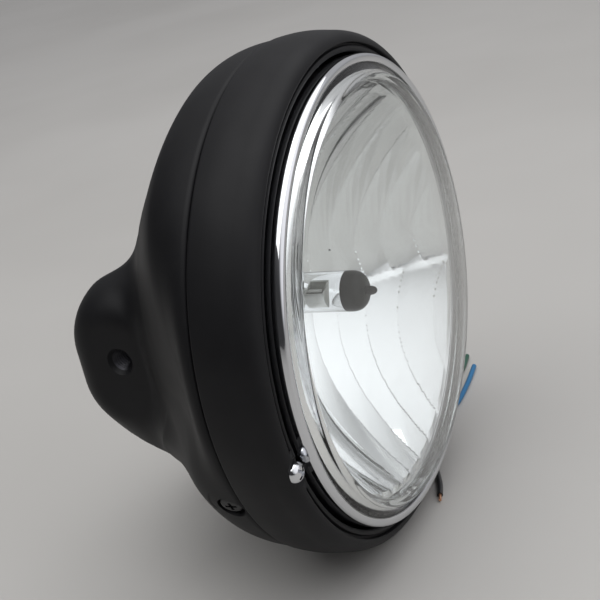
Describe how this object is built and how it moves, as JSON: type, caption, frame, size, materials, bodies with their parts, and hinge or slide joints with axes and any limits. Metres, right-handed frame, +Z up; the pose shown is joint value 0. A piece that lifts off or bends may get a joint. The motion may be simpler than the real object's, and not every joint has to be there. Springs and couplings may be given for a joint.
{
  "type": "round motorcycle headlight",
  "caption": "Round motorcycle headlight with a black bowl shell, side mount pods, clear lens, chrome ring and free leads.",
  "frame": {"origin": "on the axis through the two side mount threads, midway between the two pod faces", "axes": "the lens faces -Y, +Z is up, +X runs along the mount axis to the lamp's left side as seen by the rider"},
  "size_m": [0.2398, 0.1357, 0.2],
  "materials": {
    "black_paint": "satin",
    "black_screw": "satin",
    "rubber": "matte",
    "grey_seal": "matte",
    "zinc": "satin",
    "dark_steel": "satin",
    "chrome": "polished",
    "lens_glass": "gloss",
    "bulb_glass": "gloss",
    "mirror_coat": "polished",
    "white_plastic": "matte",
    "brass": "satin",
    "copper": "satin",
    "lead_inner": "satin",
    "lead_blue": "satin",
    "lead_green": "satin",
    "lead_black": "satin"
  },
  "bodies": {
    "housing": {"shell": "black_paint", "bezel": "black_paint", "seam_seal": "rubber", "bezel_screws": "black_screw", "bezel_nuts": "zinc", "mount_insert_left": "dark_steel", "mount_insert_right": "dark_steel", "pivot_brackets": "dark_steel", "pivot_pins": "zinc", "cable_grommet": "rubber", "inner_leads": "lead_inner", "lead_blue": "lead_blue", "lead_green": "lead_green", "lead_black": "lead_black", "bare_end": "copper"},
    "light_unit": {"chrome_ring": "chrome", "ring_screws": "zinc", "seat_ring": "dark_steel", "lens": "lens_glass", "lens_seal": "grey_seal", "reflector": "mirror_coat", "bulb_glass": "bulb_glass", "bulb_filaments": "zinc", "bulb_base": "zinc", "bulb_terminals": "brass", "bulb_clip": "zinc", "rubber_boot": "rubber", "bulb_connector": "white_plastic", "adjuster_nut": "white_plastic"},
    "adjuster": {"adjuster_screw": "chrome", "adjuster_washer": "zinc"}
  },
  "joints": [
    {"name": "aim_swivel", "type": "hinge", "parent": "housing", "child": "light_unit", "pos_m": [0, -0.0722, 0], "axis": [0, 0, 1], "range_deg": [-1.5, 1.5], "deforming": ["inner_leads"]},
    {"name": "adjuster_turn", "type": "hinge", "parent": "housing", "child": "adjuster", "pos_m": [-0.09045, -0.0862, -0.02559], "axis": [0, 1, 0], "range_deg": [-1219.8, 1219.8]}
  ],
  "couplings": [
    {"joint": "adjuster_turn", "follows": "aim_swivel", "ratio": 811.9}
  ]
}
